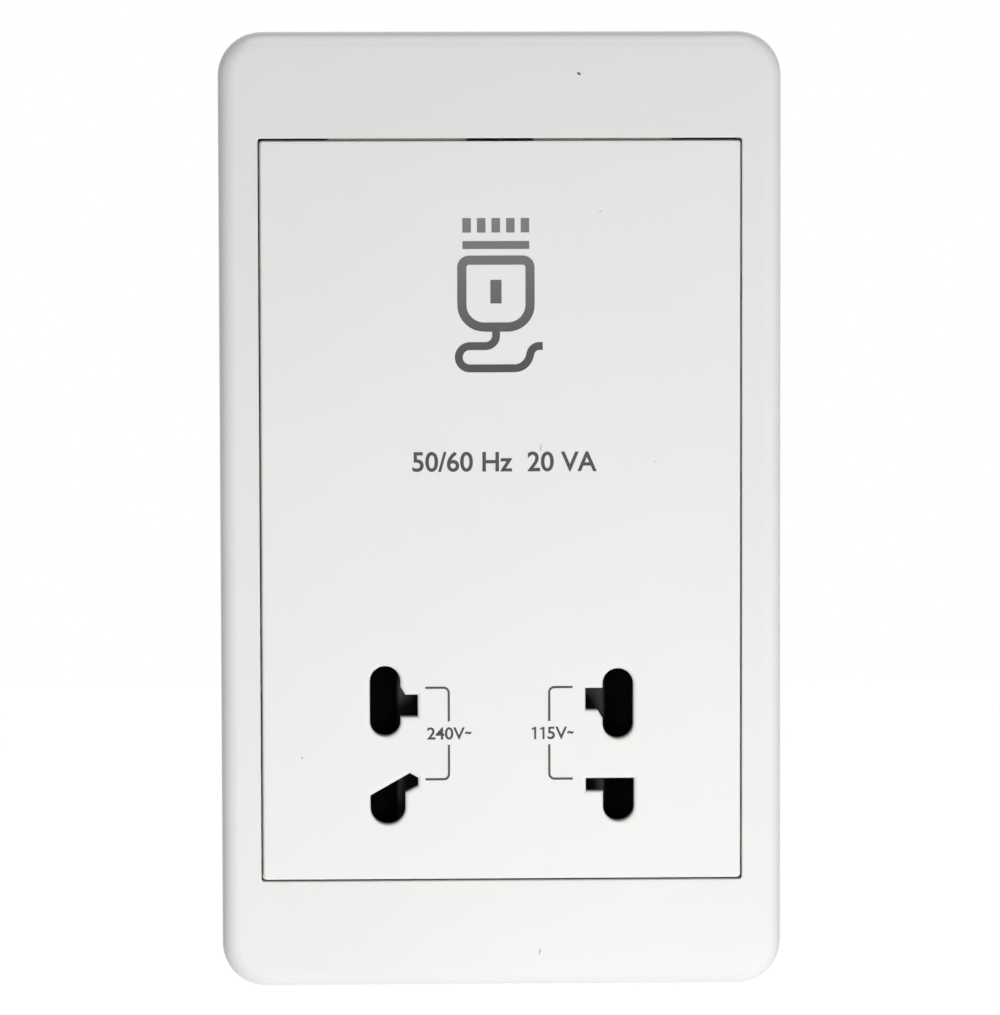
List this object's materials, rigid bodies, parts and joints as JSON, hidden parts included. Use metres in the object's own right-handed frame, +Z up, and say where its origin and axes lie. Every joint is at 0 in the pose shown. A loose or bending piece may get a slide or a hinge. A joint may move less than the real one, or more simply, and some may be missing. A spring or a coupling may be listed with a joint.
{
  "type": "dual voltage shaver socket outlet",
  "caption": "Upright wall outlet for electric shavers: white clip-on frame and panel, paired 240 V and 115 V pin apertures, sliding interlock shutter and isolating transformer behind.",
  "frame": {"origin": "centre of the cover plate on the wall face", "axes": "+X to the right as seen from the room, +Y into the wall along the fixing screws, +Z up along the plate's height"},
  "size_m": [0.086, 0.0488, 0.1464],
  "materials": {
    "white_frame": "glossy moulded white",
    "white_panel": "glossy moulded white",
    "white_plate": "satin moulded white",
    "grey_housing": "satin moulded light grey",
    "zinc_screw": "bright zinc plate",
    "black_moulding": "satin black",
    "black_shutter": "satin black",
    "contact_brass": "plain strip",
    "terminal_brass": "turned and milled",
    "spring_steel": "bright wire",
    "core_steel": "varnished stampings",
    "bobbin_nylon": "natural nylon",
    "enamelled_wire": "enamelled copper",
    "yellow_tape": "polyester tape",
    "tinned_pin": "tinned",
    "cutout_case": "black case",
    "terminal_moulding": "satin off white"
  },
  "bodies": {
    "base": {"cover_frame": "white_frame", "front_panel": "white_panel", "mounting_plate": "white_plate", "rear_housing": "grey_housing", "housing_screws": "zinc_screw", "contact_carrier": "black_moulding", "carrier_cover": "black_moulding", "carrier_screws": "zinc_screw", "contact_240v": "contact_brass", "contact_115v": "contact_brass", "contact_common": "contact_brass", "shutter_spring": "spring_steel", "switch_base": "black_moulding", "switch_pads": "contact_brass", "core_e_stack": "core_steel", "core_i_stack": "core_steel", "core_screws": "zinc_screw", "bobbin": "bobbin_nylon", "primary_winding": "enamelled_wire", "secondary_winding": "enamelled_wire", "coil_tape": "yellow_tape", "bobbin_pins": "tinned_pin", "thermal_cutout": "cutout_case", "terminal_block": "terminal_moulding", "terminal_block_screws": "zinc_screw", "terminal_live": "terminal_brass", "terminal_neutral": "terminal_brass", "terminal_earth": "terminal_brass", "terminal_screws": "zinc_screw"},
    "shutter": {"shutter": "black_shutter", "switch_slider": "black_shutter", "switch_bridge": "contact_brass"}
  },
  "joints": [
    {"name": "shutter_slide", "type": "slide", "parent": "base", "child": "shutter", "axis": [1, 0, 0], "range_m": [-0.0074, 0.0074], "stiffness_N_per_m": 60, "deforming": ["shutter_spring"]}
  ]
}
